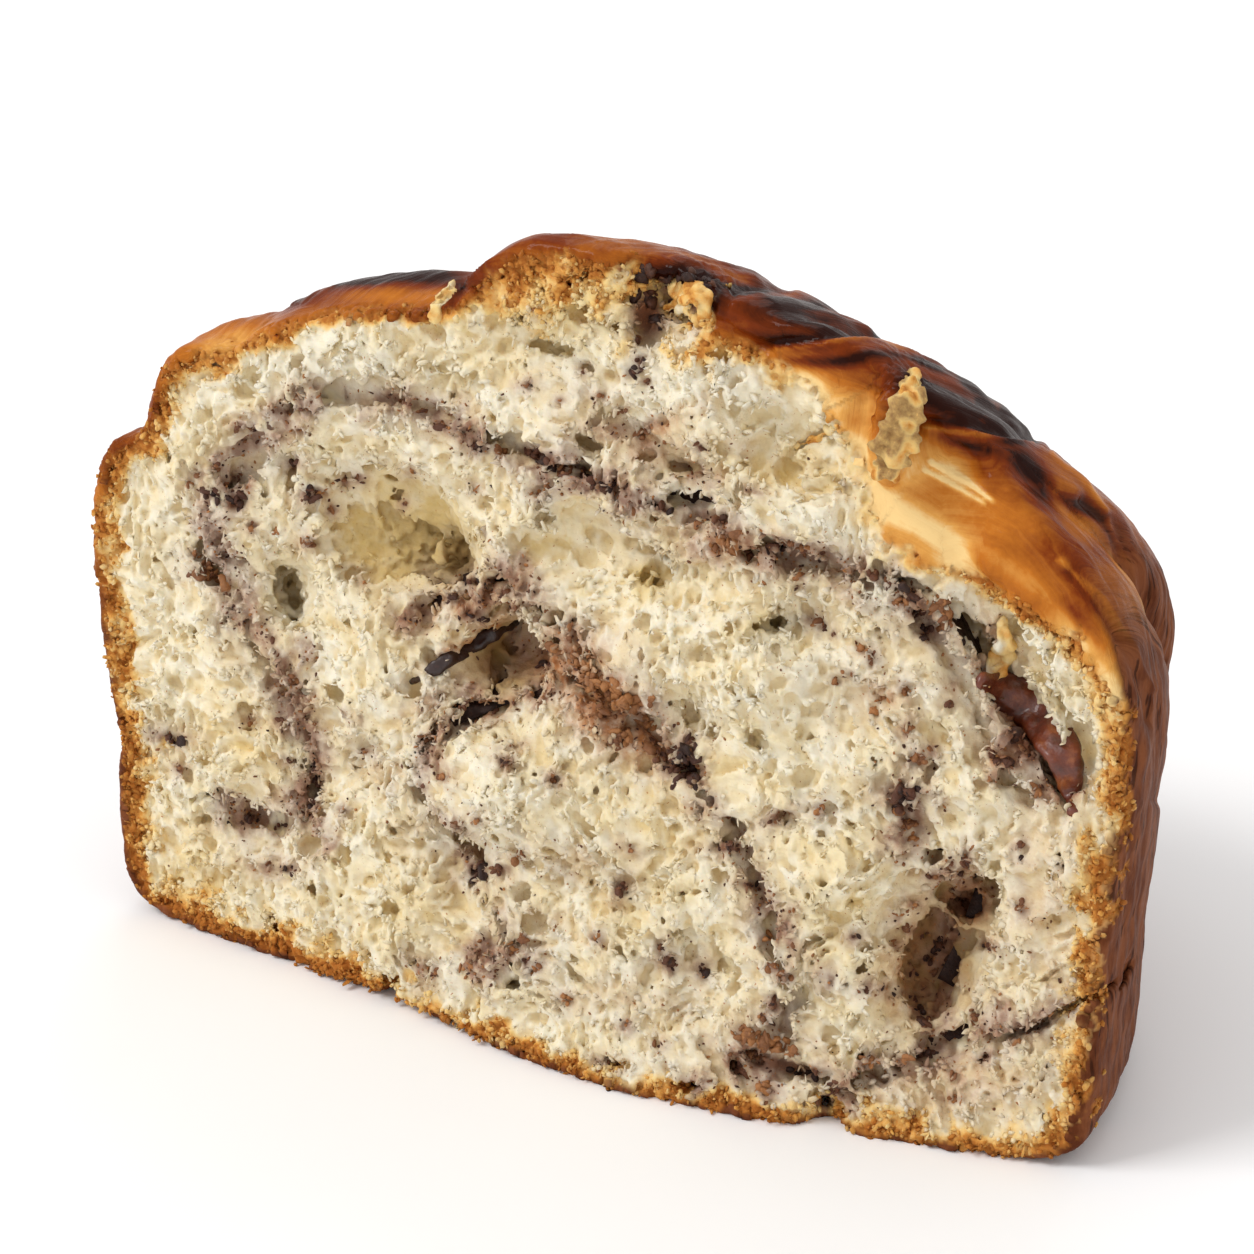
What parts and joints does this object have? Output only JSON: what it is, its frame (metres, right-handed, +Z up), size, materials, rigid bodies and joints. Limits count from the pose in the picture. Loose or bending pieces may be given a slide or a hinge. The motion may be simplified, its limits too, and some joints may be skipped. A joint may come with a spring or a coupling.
{
  "type": "torn end piece of a chocolate swirl brioche loaf",
  "caption": "Torn heel of a twisted brioche loaf: domed glossy crust, flat base, and an open torn face with bands of chocolate filling.",
  "frame": {"origin": "on the flat base, under the middle of the piece's bounding box", "axes": "+Z up, +X to the right along the torn face, +Y from the torn face towards the rounded heel"},
  "size_m": [0.1148, 0.0708, 0.0842],
  "materials": {
    "bread": "matt torn crumb with a satin baked crust",
    "chocolate": "satin, crumbly"
  },
  "bodies": {
    "root": {"brioche": "bread", "chocolate_swirl_outer": "chocolate", "chocolate_swirl_core": "chocolate", "chocolate_swirl_left": "chocolate", "chocolate_swirl_right": "chocolate", "chocolate_swirl_base": "chocolate"}
  },
  "joints": []
}
